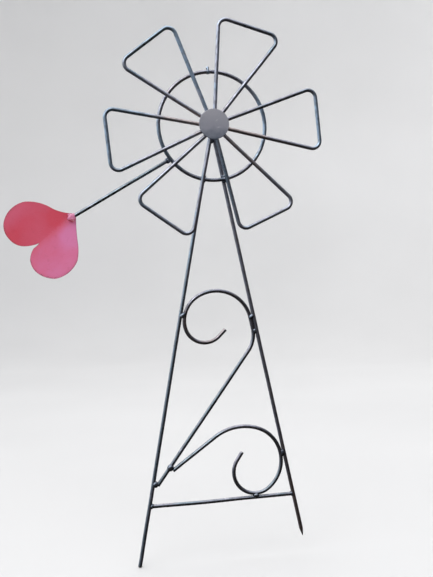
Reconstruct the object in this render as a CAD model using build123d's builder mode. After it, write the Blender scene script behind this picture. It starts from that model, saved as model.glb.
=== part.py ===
"""Garden wind spinner: a welded rod A-frame stake with two scrolls, a ring, a tail rod and a red heart,
and a six-bladed wire wheel that turns on a bolt in front of the ring.

Millimetres, +Z up. The wheel's axis runs along Y and the front of the spinner faces -Y.
Z = 0 is the underside of the cross bar, where the soil comes to; the two prongs reach below it.
"""

import os
from math import acos, asin, atan2, cos, degrees, hypot, radians, sin, tan

from build123d import *

# ---------------------------------------------------------------- driving dimensions
ROD_D = 6.35  # quarter-inch round bar, used for everything but the tail
ROD_R = ROD_D / 2
TOUCH = ROD_D + 0.1  # centre distance of two bars that lie against each other, with room for the weld

HUB_Z = 627.5  # height of the wheel's axis above the soil
LEG_ANGLE = 11.14  # each leg's lean from vertical
LEG_APEX_Z = 626.2  # where the two leg centrelines meet
LEFT_TIP_Z = -94.5  # the left prong is cut square
RIGHT_TIP_Z = -68.0  # the right prong is shorter and ground to a point
POINT_LENGTH = 13.0
POINT_R = 0.6  # what the grinder left of the prong's end
BAR_Z = ROD_R  # at the left leg
BAR_RISE = 1.8  # the cross bar was welded in a little higher at its right end
BAR_BITE = 1.5  # its ends are coped this far into the legs' width, seen from the front
MITRE_CUTTER = (50, 20, 80)

BEARING_OD = 16.0
BEARING_HALF = 12.0
MOUTH_BREAK = 0.6
AXLE_R = 4.0
BORE_R = 4.03

RING_R = 89.5
RING_Y = -(ROD_D + 0.05)  # the ring lies on the front of the legs

TAIL_R = 3.0
TAIL_ANGLE = 29.9  # the tail rod falls away to the left at this slope
TAIL_DROP = 11.6  # how far its line passes below the wheel's axis
TAIL_START = -73.0  # x of its end on the ring
TAIL_END = -237.0  # x of its end on the face of the heart

HEART_X = -280.3
HEART_Z = HUB_Z - 183.0
HEART_Y = -1.7
HEART_TURN = 39.5  # slope of the line from notch to tip
HEART_FOLD = 7.0  # each lobe leans forward by this much about that line
HEART_THICK = 1.5
NOTCH = (-7, 0)
TIP = (66.5, 0)
# Each lobe's outline from the notch round to the tip, along the fold line first and then out to the side.
# It was cut freehand, as short arcs through every second point; the notch is a narrow slit.
UPPER_LOBE = (
    NOTCH, (-15, 3.0), (-27, 10.6), (-35.3, 21), (-38, 34.6), (-35.4, 49), (-25, 61.6), (-3, 69.1), (20, 63.6),
    (34, 50), (45, 28.6), (53, 14.4), TIP,
)
LOWER_LOBE = (
    NOTCH, (-13, -0.9), (-19, -0.4), (-27.5, -4.3), (-35, -10.4), (-39.9, -20), (-41, -32.4), (-36, -47),
    (-25, -60.4), (-3, -66.4), (20, -60.9), (30.5, -51), (40, -38.4), (53, -20.3), (66, -4.4), (66.6, -2.2), TIP,
)
LUMP = (12.6, 8.2, 13.0)  # painted lump that holds the tail rod on the heart
LUMP_AT = (3.9, 0.0, 2.0)  # its middle, from the tail rod's end
LUMP_ROUND = 3.0

DISC_R = 24.8
DISC_THICK = 3.2
BLADE_Y = -19.0
DISC_BACK_Y = BLADE_Y - ROD_R - 0.025
RIM_R = 27.0  # radius at which the blade wires' headings at the disc are given
WIRE_ROOT = 19.5  # the blade wires stop this far from the axis, behind the disc
WIRE_BEND = 13.0

# Each blade was bent and set by hand, so the six differ a little. Angles run clockwise from the top:
# heading, half spread of the corners, radius of the first and second corner, heading and half spread at
# the disc's rim.
BLADES = (
    (22.0, 17.4, 177.0, 188.0, 22.4, 16.0),
    (86.5, 16.6, 185.5, 187.0, 87.9, 18.0),
    (150.3, 16.7, 190.0, 180.5, 151.7, 16.8),
    (209.9, 17.4, 191.5, 180.0, 206.6, 12.0),
    (261.3, 17.0, 186.5, 180.0, 256.2, 15.6),
    (320.3, 18.1, 180.5, 176.0, 319.0, 15.9),
)

# Upper scroll
TOP_R = 59.4
TOP_CENTRE_Z = 295.1
SHOULDER_R = 47.9
CURL_R = 33.8
CURL_FROM = 190.0
CURL_TO = 315.0
CURL_TAIL = 15.5
ELBOW_Z = 289.6
ELBOW_R = 48.4
BRACE_ANGLE = 53.4

# Lower scroll
LOW_R = 58.6
LOW_CENTRE_Z = 65.2
LOW_RISE_R = 81.0
LOW_RISE_FROM = 70.5
LOW_RISE_ANGLE = 35.1
LOW_CURL_R = 37.1
LOW_CURL_END = 146.0
LOW_CURL_TAIL = 16.0

HEAD_FLATS = 13.0
HEAD_HIGH = 5.3
COLLAR_R = 6.5
COLLAR_THICK = 3.0
WASHER_R = 8.0
WASHER_THICK = 1.6
WASHER_HOLE_R = AXLE_R + 0.2
PLAY = 0.3
NUT_HIGH = 8.0
NYLON_HIGH = 1.8
NYLON_R = 5.9
NYLON_ROUND = 0.9
BOLT_TAIL = 2.0  # thread showing past the lock nut
THREAD_BREAK = 0.8

# Weld beads: radius of each lump and how far it sits off the bars' middle plane
FACE_BEAD_OFF = 2.6
BLOB_R = 5.0  # a bigger blob joins each of the two square bar ends
BLOB_GAP = 3.2
CROSS_BEAD_R = 4.6
RING_BEAD_R = 3.0
RING_BEAD_SPREAD = 4.2
APEX_BEAD_R = 3.6
APEX_BEAD_DROP = 21.0
SEAM_BEAD_R = 4.3
SEAM_ANGLE = 93.0  # where the ring was closed, near its top
NUB_OUT = 6.0  # a nub of weld wire was left standing on the closing weld
NUB_R = 2.5
NUB_WIRE_R = 1.2
# side beads: radius, then how far in from the bars' touching line and how far up from their touching point
TOUCH_BEAD = (3.6, 1.8, 2.5)  # upper scroll on the right leg
ELBOW_BEAD = (3.2, 0.0, -5.0)  # the same bar further down, where its elbow starts
SHOULDER_BEAD = (3.4, 0.8, 1.6)  # upper scroll on the left leg
RUB_BEAD_R = 3.4  # lower scroll on the right leg
REST_BEAD_R = 3.4  # lower scroll on the cross bar
LOW_START_BLOB = (-4.1, 5.1)  # off the bar's end, sideways and up
BRACE_FOOT_BLOB = (-3.8, 2.2)
TAIL_BEAD_R = 4.6
TAIL_BEAD_OUT = 4.2
ROOT_BEAD_R = 3.4
HEAD_BEAD_FOOT = 9.4
HEAD_BEAD_TOP = 7.6
HEAD_BEAD_HIGH = 2.0

LEAN = radians(LEG_ANGLE)
FRONT_STACK = DISC_BACK_Y + HEAD_HIGH
REAR_FACE = BEARING_HALF + PLAY


# ---------------------------------------------------------------- shared geometry
def leg_x(z, side=1):
    """X of a leg's centreline at height z."""
    return side * (LEG_APEX_Z - z) * tan(LEAN)


def from_leg(x, z, side):
    """Distance of a point from a leg's centreline, positive towards the middle of the frame."""
    return -side * x * cos(LEAN) + (LEG_APEX_Z - z) * sin(LEAN)


def polar(centre, radius, angle):
    return (centre[0] + radius * cos(radians(angle)), centre[1] + radius * sin(radians(angle)))


def front(x, z, y=0.0):
    """Place something at a point of the front view with its own Z axis along Y."""
    return Location((x, y, z), (90, 0, 0))


def bar(start, end, radius, y=0.0, mode=Mode.ADD):
    """Straight round bar between two points of the front view."""
    length = hypot(end[0] - start[0], end[1] - start[1])
    along = ((end[0] - start[0]) / length, 0, (end[1] - start[1]) / length)
    base = Plane(origin=(start[0], y, start[1]), x_dir=(0, 1, 0), z_dir=along)
    with Locations(base.location):
        Cylinder(radius, length, align=(Align.CENTER, Align.CENTER, Align.MIN), mode=mode)


def leg_bar(side, tip_z, mode=Mode.ADD):
    bar((leg_x(tip_z, side), tip_z), (0, LEG_APEX_Z), ROD_R, mode=mode)


def round_bar_along(path, radius):
    """Sweep a round section along a finished line."""
    with BuildSketch(Plane(origin=path @ 0, z_dir=path % 0)) as section:
        Circle(radius)
    sweep(sections=section.sketch, path=path)


def bearing_bar(radius, mode=Mode.ADD):
    with Locations(front(0, HUB_Z)):
        Cylinder(radius, 2 * BEARING_HALF, mode=mode)


def on_axis(shape_y, height):
    """A disc-like piece on the wheel's axis, its front face at shape_y and growing towards +Y."""
    return Location((0, shape_y + height / 2, HUB_Z), (90, 0, 0))


# ---------------------------------------------------------------- legs and cross bar
with BuildPart() as left_leg:
    leg_bar(-1, LEFT_TIP_Z)
    bearing_bar(BEARING_OD / 2, Mode.SUBTRACT)
    with Locations((MITRE_CUTTER[0] / 2, 0, LEG_APEX_Z)):
        Box(*MITRE_CUTTER, mode=Mode.SUBTRACT)

with BuildPart() as right_leg:
    leg_bar(1, RIGHT_TIP_Z + POINT_LENGTH * cos(LEAN))
    tip = (leg_x(RIGHT_TIP_Z), RIGHT_TIP_Z)
    point_plane = Plane(origin=(tip[0], 0, tip[1]), x_dir=(0, 1, 0), z_dir=(-sin(LEAN), 0, cos(LEAN)))
    with Locations(point_plane.location):
        Cone(POINT_R, ROD_R, POINT_LENGTH, align=(Align.CENTER, Align.CENTER, Align.MIN))
    bearing_bar(BEARING_OD / 2, Mode.SUBTRACT)
    with Locations((-MITRE_CUTTER[0] / 2, 0, LEG_APEX_Z)):
        Box(*MITRE_CUTTER, mode=Mode.SUBTRACT)

with BuildPart() as cross_bar:
    left_end = (leg_x(BAR_Z, -1) + BAR_BITE, BAR_Z)
    right_end = (leg_x(BAR_Z) - BAR_BITE, BAR_Z + BAR_RISE)
    bar(left_end, right_end, ROD_R - 0.05)
    leg_bar(-1, LEFT_TIP_Z, Mode.SUBTRACT)
    leg_bar(1, RIGHT_TIP_Z, Mode.SUBTRACT)

with BuildPart() as bearing_tube:
    bearing_bar(BEARING_OD / 2)
    bearing_bar(BORE_R, Mode.SUBTRACT)
    mouths = bearing_tube.edges().filter_by(GeomType.CIRCLE)
    chamfer(mouths.group_by(SortBy.RADIUS)[-1], MOUTH_BREAK)

# ---------------------------------------------------------------- upper scroll
touch_z = TOP_CENTRE_Z + TOP_R * sin(LEAN)
elbow_top = (leg_x(ELBOW_Z) - TOUCH / cos(LEAN), ELBOW_Z)
touch = (leg_x(touch_z) - TOUCH / cos(LEAN), touch_z)
top_centre = (touch[0] - TOP_R * cos(LEAN), TOP_CENTRE_Z)
elbow_centre = (elbow_top[0] - ELBOW_R * cos(LEAN), elbow_top[1] - ELBOW_R * sin(LEAN))
elbow_low = polar(elbow_centre, ELBOW_R, BRACE_ANGLE - 90)

# the shoulder arc starts where it leaves just enough room for the bar against the left leg
shoulder_reach = (SHOULDER_R + TOUCH - from_leg(*top_centre, -1)) / (TOP_R - SHOULDER_R)
shoulder_from = degrees(acos(shoulder_reach)) - LEG_ANGLE
shoulder_centre = polar(top_centre, TOP_R - SHOULDER_R, shoulder_from)
curl_centre = polar(shoulder_centre, SHOULDER_R - CURL_R, CURL_FROM)
curl_end = polar(curl_centre, CURL_R, CURL_TO)

# the brace stops with its square end just short of the left leg, and a blob of weld fills the gap
brace_meets = radians(90 - LEG_ANGLE - BRACE_ANGLE)
brace_stop = ROD_R * (1 + cos(brace_meets)) + 0.1
brace_length = (from_leg(*elbow_low, -1) - brace_stop) / sin(brace_meets) - BLOB_GAP
brace_foot = polar(elbow_low, brace_length, BRACE_ANGLE + 180)

with BuildPart() as upper_scroll:
    with BuildLine(Plane.XZ) as upper_path:
        Line(brace_foot, elbow_low)
        CenterArc(elbow_centre, ELBOW_R, BRACE_ANGLE - 90, 90 - BRACE_ANGLE + LEG_ANGLE)
        Line(elbow_top, touch)
        CenterArc(top_centre, TOP_R, LEG_ANGLE, shoulder_from - LEG_ANGLE)
        CenterArc(shoulder_centre, SHOULDER_R, shoulder_from, CURL_FROM - shoulder_from)
        CenterArc(curl_centre, CURL_R, CURL_FROM, CURL_TO - CURL_FROM)
        Line(curl_end, polar(curl_end, CURL_TAIL, CURL_TO + 90))
    round_bar_along(upper_path.wire(), ROD_R)

# ---------------------------------------------------------------- lower scroll
low_centre_x = leg_x(LOW_CENTRE_Z) - (LOW_R + TOUCH) / cos(LEAN)
low_centre = (low_centre_x, LOW_CENTRE_Z)
rise_centre = polar(low_centre, LOW_R - LOW_RISE_R, LOW_RISE_FROM)
rise_foot = polar(rise_centre, LOW_RISE_R, LOW_RISE_ANGLE + 90)
low_curl_z = BAR_Z + 0.75 * BAR_RISE + TOUCH + LOW_CURL_R
low_curl_from = degrees(asin((low_curl_z - LOW_CENTRE_Z) / (LOW_R - LOW_CURL_R)))
low_curl_centre = polar(low_centre, LOW_R - LOW_CURL_R, low_curl_from)
low_curl_tail = polar(low_curl_centre, LOW_CURL_R, LOW_CURL_END)

# its straight end stops just short of the brace of the upper scroll in the same way
split_angle = radians(BRACE_ANGLE - LOW_RISE_ANGLE)
brace_x = cos(radians(BRACE_ANGLE))
brace_z = sin(radians(BRACE_ANGLE))
off_brace = (rise_foot[0] - elbow_low[0]) * brace_z - (rise_foot[1] - elbow_low[1]) * brace_x
low_run = (off_brace - ROD_R * (1 + cos(split_angle)) - 0.1) / sin(split_angle) - BLOB_GAP
low_start = polar(rise_foot, low_run, LOW_RISE_ANGLE + 180)

with BuildPart() as lower_scroll:
    with BuildLine(Plane.XZ) as lower_path:
        Line(low_start, rise_foot)
        CenterArc(rise_centre, LOW_RISE_R, LOW_RISE_ANGLE + 90, LOW_RISE_FROM - LOW_RISE_ANGLE - 90)
        CenterArc(low_centre, LOW_R, LOW_RISE_FROM, low_curl_from - LOW_RISE_FROM)
        CenterArc(low_curl_centre, LOW_CURL_R, low_curl_from, LOW_CURL_END - 360 - low_curl_from)
        Line(low_curl_tail, polar(low_curl_tail, LOW_CURL_TAIL, LOW_CURL_END - 90))
    round_bar_along(lower_path.wire(), ROD_R)


# ---------------------------------------------------------------- ring, tail rod and heart
def ring_bar(mode=Mode.ADD):
    with Locations(front(0, HUB_Z, RING_Y)):
        Torus(RING_R, ROD_R, mode=mode)


with BuildPart() as ring:
    ring_bar()


def tail_z(x):
    return HUB_Z - TAIL_DROP / cos(radians(TAIL_ANGLE)) + x * tan(radians(TAIL_ANGLE))


def tail_bar(mode=Mode.ADD):
    bar((TAIL_END, tail_z(TAIL_END)), (TAIL_START, tail_z(TAIL_START)), TAIL_R, RING_Y, mode)


with BuildPart() as tail_rod:
    tail_bar()
    ring_bar(Mode.SUBTRACT)


def heart_half(side):
    """One lobe, leaning forward about the fold line. side is 1 for the upper left lobe."""
    turn = radians(HEART_TURN)
    fold = radians(side * HEART_FOLD)
    normal = (-sin(turn) * -sin(fold), -cos(fold), cos(turn) * -sin(fold))
    face = Plane(origin=(HEART_X, HEART_Y, HEART_Z), x_dir=(cos(turn), 0, sin(turn)), z_dir=normal)
    outline = UPPER_LOBE if side > 0 else LOWER_LOBE
    with BuildSketch(face) as lobe:
        with BuildLine():
            for start, through, end in zip(outline[0::2], outline[1::2], outline[2::2]):
                ThreePointArc(start, through, end)
            Line(TIP, NOTCH)
        make_face()
    extrude(lobe.sketch, amount=HEART_THICK / 2, both=True)


with BuildPart() as heart:
    heart_half(1)
    heart_half(-1)
    fold_x = cos(radians(HEART_TURN))
    fold_z = sin(radians(HEART_TURN))
    fold_from = (HEART_X + NOTCH[0] * fold_x, HEART_Z + NOTCH[0] * fold_z)
    fold_to = (HEART_X + (TIP[0] - 1) * fold_x, HEART_Z + (TIP[0] - 1) * fold_z)
    bar(fold_from, fold_to, HEART_THICK / 2, HEART_Y)

with BuildPart() as heart_weld:
    with Locations(Location((TAIL_END + LUMP_AT[0], RING_Y + LUMP_AT[1], tail_z(TAIL_END) + LUMP_AT[2]))):
        Box(*LUMP)
        fillet(heart_weld.edges(), LUMP_ROUND)
    tail_bar(Mode.SUBTRACT)
    add(heart.part, mode=Mode.SUBTRACT)

# ---------------------------------------------------------------- weld beads of the frame
seam = polar((0, HUB_Z), RING_R, SEAM_ANGLE)
nub = polar((0, HUB_Z), RING_R + NUB_OUT, SEAM_ANGLE)
ring_low_z = HUB_Z - RING_R * cos(LEAN) + 0.3

shoulder_z = shoulder_centre[1] + SHOULDER_R * sin(LEAN)
rub_z = LOW_CENTRE_Z + LOW_R * sin(LEAN)

# each place where a scroll or the brace touches: x, z and the radius of the bead on either face
side_beads = (
    (touch[0] + ROD_R * cos(LEAN) - TOUCH_BEAD[1], touch[1] + TOUCH_BEAD[2], TOUCH_BEAD[0]),
    (elbow_top[0] + ROD_R - ELBOW_BEAD[1], elbow_top[1] + ELBOW_BEAD[2], ELBOW_BEAD[0]),
    (-touch[0] - ROD_R * cos(LEAN) + SHOULDER_BEAD[1], shoulder_z + SHOULDER_BEAD[2], SHOULDER_BEAD[0]),
    (leg_x(rub_z) - ROD_R, rub_z, RUB_BEAD_R),
    (low_curl_centre[0], low_curl_z - LOW_CURL_R - ROD_R, REST_BEAD_R),
)
end_blobs = (
    (low_start[0] + LOW_START_BLOB[0], low_start[1] + LOW_START_BLOB[1]),
    (brace_foot[0] + BRACE_FOOT_BLOB[0], brace_foot[1] + BRACE_FOOT_BLOB[1]),
)


def end_blob(x, z):
    with BuildPart() as blob:
        with Locations((x, 0, z)):
            Sphere(BLOB_R)
        for rod in (left_leg, upper_scroll, lower_scroll):
            add(rod.part, mode=Mode.SUBTRACT)
    return blob


blobs = [end_blob(*spot) for spot in end_blobs]

with BuildPart() as frame_welds:
    for x, z, size in side_beads:
        for face_y in (-FACE_BEAD_OFF, FACE_BEAD_OFF):
            with Locations((x, face_y, z)):
                Sphere(size)
    for side in (-1, 1):
        with Locations((leg_x(BAR_Z, side) - side * 3.2, 0, BAR_Z + (1 + side) / 2 * BAR_RISE)):
            Sphere(CROSS_BEAD_R)
        for rise in (-RING_BEAD_SPREAD, RING_BEAD_SPREAD):
            with Locations((leg_x(ring_low_z + rise, side), RING_Y + 2.0, ring_low_z + rise)):
                Sphere(RING_BEAD_R)
        with Locations((0, side * 3.0, LEG_APEX_Z - APEX_BEAD_DROP)):
            Sphere(APEX_BEAD_R)
    with Locations((seam[0], RING_Y, seam[1])):
        Sphere(SEAM_BEAD_R)
    bar(seam, nub, NUB_WIRE_R, RING_Y)
    with Locations((nub[0], RING_Y, nub[1])):
        Sphere(NUB_R)
    with Locations((TAIL_START - TAIL_BEAD_OUT, RING_Y, tail_z(TAIL_START - TAIL_BEAD_OUT))):
        Sphere(TAIL_BEAD_R)
    ring_bar(Mode.SUBTRACT)
    tail_bar(Mode.SUBTRACT)
    for rod in (left_leg, right_leg, cross_bar, upper_scroll, lower_scroll, bearing_tube):
        add(rod.part, mode=Mode.SUBTRACT)
    for blob in blobs:
        add(blob.part)


# ---------------------------------------------------------------- wheel: disc and blades
def clock(radius, angle):
    """Point of the front view at a radius from the wheel's axis, angle clockwise from the top."""
    return (radius * sin(radians(angle)), HUB_Z + radius * cos(radians(angle)))


def inward(corner, rim):
    """Follow the wire from its corner through its point on the rim until it is WIRE_ROOT from the axis."""
    run = hypot(rim[0] - corner[0], rim[1] - corner[1])
    step = ((rim[0] - corner[0]) / run, (rim[1] - corner[1]) / run)
    across = rim[0] * step[0] + (rim[1] - HUB_Z) * step[1]
    gap = hypot(rim[0], rim[1] - HUB_Z) ** 2 - WIRE_ROOT**2
    more = -across - (across**2 - gap) ** 0.5
    return (rim[0] + step[0] * more, rim[1] + step[1] * more)


def blade_corners(heading, spread, reach_a, reach_b, rim_heading, rim_spread):
    """Root, corner, corner, root of one blade's bent wire."""
    first = clock(reach_a, heading - spread)
    second = clock(reach_b, heading + spread)
    root_a = inward(first, clock(RIM_R, rim_heading - rim_spread))
    root_b = inward(second, clock(RIM_R, rim_heading + rim_spread))
    return root_a, first, second, root_b


with BuildPart() as hub_disc:
    with Locations(on_axis(DISC_BACK_Y - DISC_THICK, DISC_THICK)):
        Cylinder(DISC_R, DISC_THICK)
    fillet(hub_disc.edges(), 0.5)

blades = []
for row in BLADES:
    with BuildPart() as blade:
        with BuildLine(Plane.XZ.offset(-BLADE_Y)) as blade_path:
            FilletPolyline(*blade_corners(*row), radius=WIRE_BEND)
        round_bar_along(blade_path.wire(), ROD_R)
    blades.append(blade)

# ---------------------------------------------------------------- wheel: axle and its hardware
bolt_end = REAR_FACE + WASHER_THICK + NUT_HIGH + BOLT_TAIL

with BuildPart() as axle_bolt:
    with BuildSketch(Plane.XZ.offset(-DISC_BACK_Y)) as head:
        with Locations((0, HUB_Z)):
            RegularPolygon(HEAD_FLATS / 2, 6, major_radius=False)
    extrude(head.sketch, amount=-HEAD_HIGH)
    with Locations(on_axis(FRONT_STACK, bolt_end - FRONT_STACK)):
        Cylinder(AXLE_R, bolt_end - FRONT_STACK)
    thread_end = axle_bolt.faces().sort_by(Axis.Y)[-1]
    chamfer(thread_end.edges(), THREAD_BREAK)


def washer(start_y, radius, thick, hole):
    with Locations(on_axis(start_y, thick)):
        Cylinder(radius, thick)
        Cylinder(hole, thick, mode=Mode.SUBTRACT)


with BuildPart() as front_collar:
    washer(FRONT_STACK, COLLAR_R, COLLAR_THICK, AXLE_R)
    chamfer(front_collar.edges().filter_by(GeomType.CIRCLE).group_by(SortBy.RADIUS)[-1], 0.4)

with BuildPart() as front_washer:
    washer(-BEARING_HALF - PLAY - WASHER_THICK, WASHER_R, WASHER_THICK, WASHER_HOLE_R)

with BuildPart() as rear_washer:
    washer(REAR_FACE, WASHER_R, WASHER_THICK, WASHER_HOLE_R)

with BuildPart() as lock_nut:
    with BuildSketch(Plane.XZ.offset(-REAR_FACE - WASHER_THICK)) as nut:
        with Locations((0, HUB_Z)):
            RegularPolygon(HEAD_FLATS / 2, 6, major_radius=False)
            Circle(AXLE_R, mode=Mode.SUBTRACT)
    extrude(nut.sketch, amount=-(NUT_HIGH - NYLON_HIGH))
    washer(REAR_FACE + WASHER_THICK + NUT_HIGH - NYLON_HIGH, NYLON_R, NYLON_HIGH, AXLE_R)
    nylon_rim = lock_nut.faces().sort_by(Axis.Y)[-1].edges().sort_by(SortBy.RADIUS)[-1]
    fillet(nylon_rim, NYLON_ROUND)

with BuildPart() as hub_welds:
    for row in BLADES:
        root_a, first, second, root_b = blade_corners(*row)
        for root in (root_a, root_b):
            around = degrees(atan2(root[1] - HUB_Z, root[0]))
            spot = polar((0, HUB_Z), WIRE_ROOT - 0.4, around)
            with Locations(front(*spot, DISC_BACK_Y + 1.4)):
                Sphere(ROOT_BEAD_R)
    with Locations(Location((0, DISC_BACK_Y + HEAD_BEAD_HIGH / 2, HUB_Z), (-90, 0, 0))):
        Cone(HEAD_BEAD_FOOT, HEAD_BEAD_TOP, HEAD_BEAD_HIGH)
    with Locations(on_axis(DISC_BACK_Y - DISC_THICK, DISC_THICK)):
        Cylinder(DISC_R + 5, DISC_THICK, mode=Mode.SUBTRACT)
    for blade in blades:
        add(blade.part, mode=Mode.SUBTRACT)
    add(axle_bolt.part, mode=Mode.SUBTRACT)

# ---------------------------------------------------------------- write every sub-part
pieces = {
    "left_leg": left_leg,
    "right_leg": right_leg,
    "cross_bar": cross_bar,
    "upper_scroll": upper_scroll,
    "lower_scroll": lower_scroll,
    "ring": ring,
    "tail_rod": tail_rod,
    "heart": heart,
    "heart_weld": heart_weld,
    "bearing_tube": bearing_tube,
    "frame_welds": frame_welds,
    "hub_disc": hub_disc,
    "axle_bolt": axle_bolt,
    "front_collar": front_collar,
    "front_washer": front_washer,
    "rear_washer": rear_washer,
    "lock_nut": lock_nut,
    "hub_welds": hub_welds,
}
for number, blade in enumerate(blades, 1):
    pieces[f"blade_{number}"] = blade

os.makedirs("parts", exist_ok=True)
for name, piece in pieces.items():
    piece.part.label = name
    export_step(piece.part, f"parts/{name}.step")
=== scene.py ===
"""Looks of the garden wind spinner: hand-bent bars, welds, painted heart, hub and axle hardware.

Lengths in the tables are millimetres in the CAD frame, and metres only in the meshes.
"""

import random
from cmath import phase, rect
from math import acos, asin, atan2, cos, degrees, exp, hypot, pi, radians, sin, sqrt, tan

import bmesh
import bpy
import numpy as np
from mathutils import Matrix, Vector, noise


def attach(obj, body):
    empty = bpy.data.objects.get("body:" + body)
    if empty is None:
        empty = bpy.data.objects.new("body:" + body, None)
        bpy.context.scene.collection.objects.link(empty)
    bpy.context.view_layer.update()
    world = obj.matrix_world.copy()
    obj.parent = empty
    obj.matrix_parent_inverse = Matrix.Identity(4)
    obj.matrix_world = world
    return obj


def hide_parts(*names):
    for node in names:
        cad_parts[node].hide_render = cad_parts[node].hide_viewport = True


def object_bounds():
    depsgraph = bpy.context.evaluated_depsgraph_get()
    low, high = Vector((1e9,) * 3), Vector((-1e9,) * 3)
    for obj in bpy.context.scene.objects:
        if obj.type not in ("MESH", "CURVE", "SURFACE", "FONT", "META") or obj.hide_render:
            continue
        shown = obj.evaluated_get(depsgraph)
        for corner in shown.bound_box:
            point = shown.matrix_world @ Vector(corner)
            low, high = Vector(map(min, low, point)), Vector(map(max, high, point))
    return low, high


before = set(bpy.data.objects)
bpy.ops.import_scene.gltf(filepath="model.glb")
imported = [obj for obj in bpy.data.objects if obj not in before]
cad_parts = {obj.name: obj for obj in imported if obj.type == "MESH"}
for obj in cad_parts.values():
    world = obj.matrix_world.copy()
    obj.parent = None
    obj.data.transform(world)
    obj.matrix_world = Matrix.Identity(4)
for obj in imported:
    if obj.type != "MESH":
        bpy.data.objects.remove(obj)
cad_low, cad_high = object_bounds()

MM = 0.001
FRONT = (0, -1, 0)

# --- dimensions, as in the CAD source
ROD_R = 3.175
WELD_ROOM = 0.1
TOUCH = 2 * ROD_R + WELD_ROOM
HUB_Z = 627.5
LEG_ANGLE = 11.14
LEAN = radians(LEG_ANGLE)
LEG_APEX_Z = 626.2
LEFT_TIP_Z = -94.5
RIGHT_TIP_Z = -68.0
POINT_LENGTH = 13.0
POINT_R = 0.6
BAR_Z = ROD_R
BAR_RISE = 1.8
RING_R = 89.5
RING_Y = -6.4
TAIL_R = 3.0
TAIL_ANGLE = 29.9
TAIL_DROP = 11.6
TAIL_START = -73.0
TAIL_END = -237.0

TOP_R = 59.4
TOP_CENTRE_Z = 295.1
SHOULDER_R = 47.9
CURL_R = 33.8
CURL_FROM = 190.0
CURL_TO = 315.0
CURL_TAIL = 15.5
ELBOW_Z = 289.6
ELBOW_R = 48.4
BRACE_ANGLE = 53.4
LOW_R = 58.6
LOW_CENTRE_Z = 65.2
LOW_RISE_R = 81.0
LOW_RISE_FROM = 70.5
LOW_RISE_ANGLE = 35.1
LOW_CURL_R = 37.1
LOW_CURL_END = 146.0
LOW_CURL_TAIL = 16.0
REST_SHARE = 0.75  # how far along the cross bar the lower curl rests on it

# where the welds sit, sideways and up from the point where two bars touch or from a bar's end
TOUCH_BEAD = (-1.8, 2.5)
ELBOW_BEAD = (ROD_R, -5.0)
SHOULDER_BEAD = (0.8, 1.6)
START_BLOB = (-4.1, 5.1)
FOOT_BLOB = (-3.8, 2.2)
BLOB_GAP = 3.2
RING_BEAD_SPREAD = 4.2
APEX_BEAD_DROP = 21.0
SEAM_ANGLE = 93.0
NUB_OUT = 6.0
TAIL_BEAD_OUT = 4.2

HEART_AT = (-280.3, -1.7, HUB_Z - 183.0)
HEART_TURN = radians(39.5)
HEART_FOLD = radians(7.0)
HEART_THICK = 1.5
NOTCH, TIP = (-7, 0), (66.5, 0)
UPPER_LOBE = (
    NOTCH, (-15, 3.0), (-27, 10.6), (-35.3, 21), (-38, 34.6), (-35.4, 49), (-25, 61.6), (-3, 69.1),
    (20, 63.6), (34, 50), (45, 28.6), (53, 14.4), TIP,
)
LOWER_LOBE = (
    NOTCH, (-13, -0.9), (-19, -0.4), (-27.5, -4.3), (-35, -10.4), (-39.9, -20), (-41, -32.4), (-36, -47),
    (-25, -60.4), (-3, -66.4), (20, -60.9), (30.5, -51), (40, -38.4), (53, -20.3), (66, -4.4),
    (66.6, -2.2), TIP,
)

DISC_R = 24.8
DISC_THICK = 3.2
BLADE_Y = -19.0
DISC_BACK_Y = BLADE_Y - ROD_R - 0.025
WIRE_ROOT = 19.5
WIRE_BEND = 13.0
RIM_R = 27.0
# heading and half spread of a blade's corners, their two radii, heading and half spread at the disc's rim
BLADES = (
    (22.0, 17.4, 177.0, 188.0, 22.4, 16.0),
    (86.5, 16.6, 185.5, 187.0, 87.9, 18.0),
    (150.3, 16.7, 190.0, 180.5, 151.7, 16.8),
    (209.9, 17.4, 191.5, 180.0, 206.6, 12.0),
    (261.3, 17.0, 186.5, 180.0, 256.2, 15.6),
    (320.3, 18.1, 180.5, 176.0, 319.0, 15.9),
)

AXLE_R = 4.0
BORE_R = 4.03
BEARING_R = 8.0
BEARING_HALF = 12.0
MOUTH_BREAK = 0.6
PLAY = 0.3
HEX_HALF = 6.5  # half the width across the flats, of the bolt's head and of the nut
HEAD_HIGH = 5.3
COLLAR_R = 6.5
WASHER_R = 8.0
WASHER_THICK = 1.6
WASHER_HOLE_R = AXLE_R + 0.2
NUT_HIGH = 8.0
BOLT_TAIL = 2.0
HEAD_BACK = DISC_BACK_Y + HEAD_HIGH
WASHER_FACE = BEARING_HALF + PLAY
NUT_FACE = WASHER_FACE + WASHER_THICK
BOLT_END = NUT_FACE + NUT_HIGH + BOLT_TAIL


# --- points of the front view
def polar(centre, radius, angle):
    return (centre[0] + radius * cos(radians(angle)), centre[1] + radius * sin(radians(angle)))


def clock(radius, angle):
    """A point round the wheel's axis, its angle clockwise from the top."""
    return (radius * sin(radians(angle)), HUB_Z + radius * cos(radians(angle)))


def shifted(point, by):
    return (point[0] + by[0], point[1] + by[1])


def leg_x(z, side=1):
    """X of a leg's centreline at height z."""
    return side * (LEG_APEX_Z - z) * tan(LEAN)


def from_leg(x, z, side):
    """Distance of a point from a leg's centreline, positive towards the middle of the frame."""
    return -side * x * cos(LEAN) + (LEG_APEX_Z - z) * sin(LEAN)


def beside_leg(z, gap):
    """The point at height z whose distance from the right leg's centreline is gap."""
    return (leg_x(z) - gap / cos(LEAN), z)


def tail_z(x):
    """Height of the tail rod's centreline at x."""
    return HUB_Z - TAIL_DROP / cos(radians(TAIL_ANGLE)) + x * tan(radians(TAIL_ANGLE))


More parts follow.
